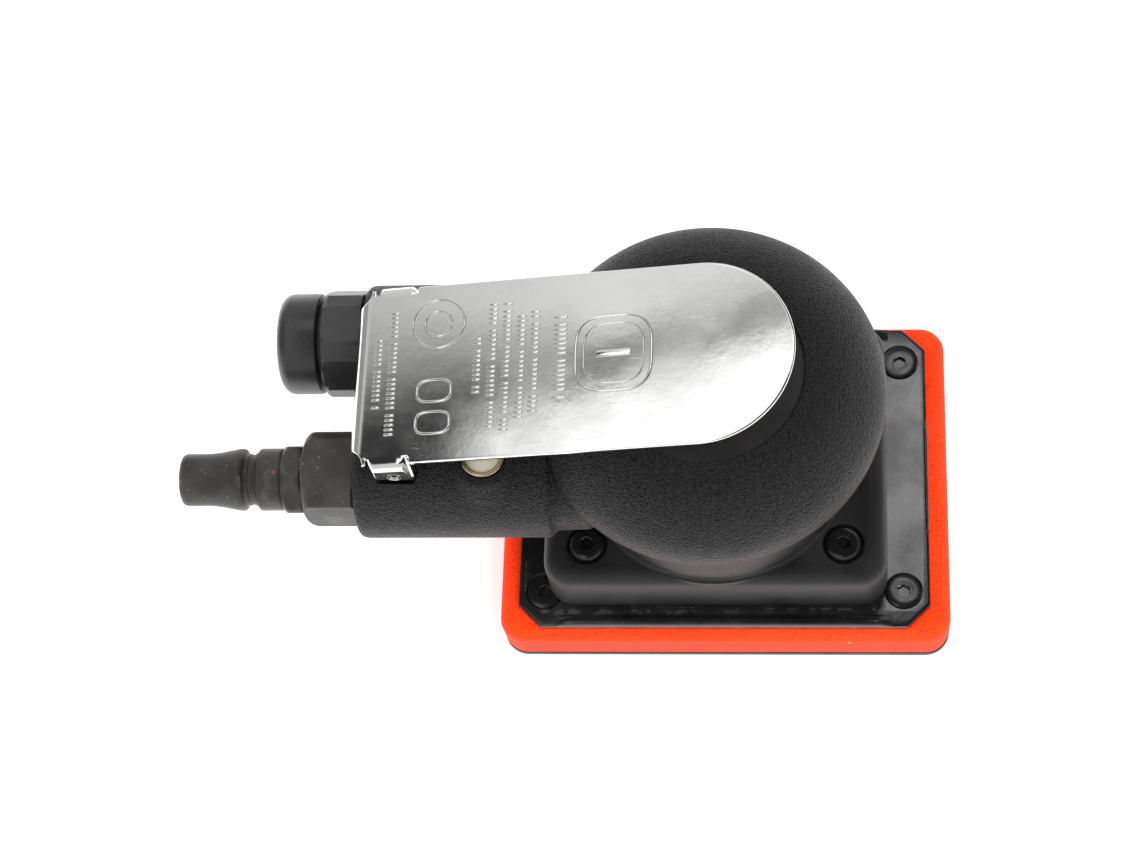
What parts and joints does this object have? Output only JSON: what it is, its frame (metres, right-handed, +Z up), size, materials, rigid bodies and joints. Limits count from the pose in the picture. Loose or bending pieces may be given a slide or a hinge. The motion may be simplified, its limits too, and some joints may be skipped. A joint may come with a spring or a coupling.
{
  "type": "orbital sander",
  "caption": "Air-driven palm orbital sander: rectangular foam pad on flexible posts, domed rubber grip, sheet-metal throttle lever, side-by-side air inlet and muffler.",
  "frame": {"origin": "on the motor's axis, in the plane of the sanding face", "axes": "+X from the hose end towards the front of the pad, +Y towards the muffler's side, +Z up out of the work"},
  "size_m": [0.1624, 0.075, 0.089],
  "materials": {
    "facing": "matt",
    "foam": "satin",
    "board": "matt",
    "brass": "satin",
    "plate": "gloss",
    "screws": "black oxide",
    "steel": "ground",
    "alloy": "turned",
    "post": "matt",
    "shroud": "fine texture",
    "housing": "black anodised",
    "grip": "fine grain",
    "lever": "polished",
    "button": "satin",
    "seal": "matt",
    "fitting": "black oxide",
    "muffler": "satin",
    "felt": "matt",
    "vane": "matt"
  },
  "bodies": {
    "housing": {"base_shroud": "shroud", "motor_housing": "housing", "rubber_grip": "grip", "lock_ring": "alloy", "cylinder_liner": "steel", "cylinder_dowel": "steel", "upper_end_plate": "alloy", "lower_end_plate": "alloy", "upper_bearing_outer": "steel", "lower_bearing_outer": "steel", "post_upper_discs": "steel", "shroud_screws": "screws", "lever_pin": "steel", "button_ring": "brass", "valve_seat": "brass", "valve_spring": "steel", "inlet_bushing": "fitting", "inlet_screen": "brass", "hose_plug": "fitting", "muffler_body": "muffler", "silencer_felt": "felt", "muffler_cap": "muffler"},
    "lever": {"throttle_lever": "lever"},
    "button": {"throttle_button": "button", "button_seal": "seal", "valve_disc": "seal"},
    "regulator": {"regulator_dial": "muffler", "regulator_seal": "seal"},
    "rotor": {"rotor": "steel", "rotor_vanes": "vane", "rotor_key": "steel", "crankshaft": "steel", "counterweight": "steel", "upper_bearing_inner": "steel", "lower_bearing_inner": "steel", "pad_bearing_inner": "steel", "retaining_washer": "steel", "retaining_screw": "screws"},
    "pad": {"pad_facing": "facing", "foam_pad": "foam", "pad_core": "board", "pad_inserts": "brass", "backing_plate": "plate", "plate_screws": "screws", "pad_hub": "alloy", "hub_screws": "screws", "pad_bearing_outer": "steel", "pad_bearing_clip": "screws", "post_screws": "screws", "post_lower_discs": "steel", "post_rubbers": "post"},
    "upper_balls": {"upper_bearing_balls": "steel"},
    "lower_balls": {"lower_bearing_balls": "steel"},
    "pad_balls": {"pad_bearing_balls": "steel"}
  },
  "joints": [
    {"name": "lever_press", "type": "hinge", "parent": "housing", "child": "lever", "pos_m": [-0.0635, 0, 0.0704], "axis": [0, 1, 0], "range_deg": [0, 4.6], "stiffness_Nm_per_rad": 0.9, "springref_deg": -6.88},
    {"name": "button_press", "type": "slide", "parent": "housing", "child": "button", "axis": [0, 0, -1], "range_m": [0, 0.0015], "stiffness_N_per_m": 100, "springref_m": -0.001, "deforming": ["valve_spring"]},
    {"name": "regulator_turn", "type": "hinge", "parent": "housing", "child": "regulator", "pos_m": [-0.0456, -0.0156, 0.043], "axis": [0, 0, 1], "range_deg": [-45, 45]},
    {"name": "rotor_spin", "type": "hinge", "parent": "housing", "child": "rotor", "pos_m": [0, 0, 0.05], "axis": [0, 0, 1], "continuous": true},
    {"name": "pad_orbit", "type": "hinge", "parent": "rotor", "child": "pad", "pos_m": [0.00117, 0.00043, 0.016], "axis": [0, 0, 1], "continuous": true},
    {"name": "upper_balls_turn", "type": "hinge", "parent": "housing", "child": "upper_balls", "pos_m": [0, 0, 0.0663], "axis": [0, 0, 1], "continuous": true},
    {"name": "lower_balls_turn", "type": "hinge", "parent": "housing", "child": "lower_balls", "pos_m": [0, 0, 0.0352], "axis": [0, 0, 1], "continuous": true},
    {"name": "pad_balls_turn", "type": "hinge", "parent": "rotor", "child": "pad_balls", "pos_m": [0.00117, 0.00043, 0.016], "axis": [0, 0, 1], "continuous": true}
  ],
  "couplings": [
    {"joint": "button_press", "follows": "lever_press", "m_per_rad": 0.0179},
    {"joint": "pad_orbit", "follows": "rotor_spin", "ratio": -1},
    {"joint": "upper_balls_turn", "follows": "rotor_spin", "ratio": 0.368},
    {"joint": "lower_balls_turn", "follows": "rotor_spin", "ratio": 0.381},
    {"joint": "pad_balls_turn", "follows": "rotor_spin", "ratio": -0.619}
  ]
}
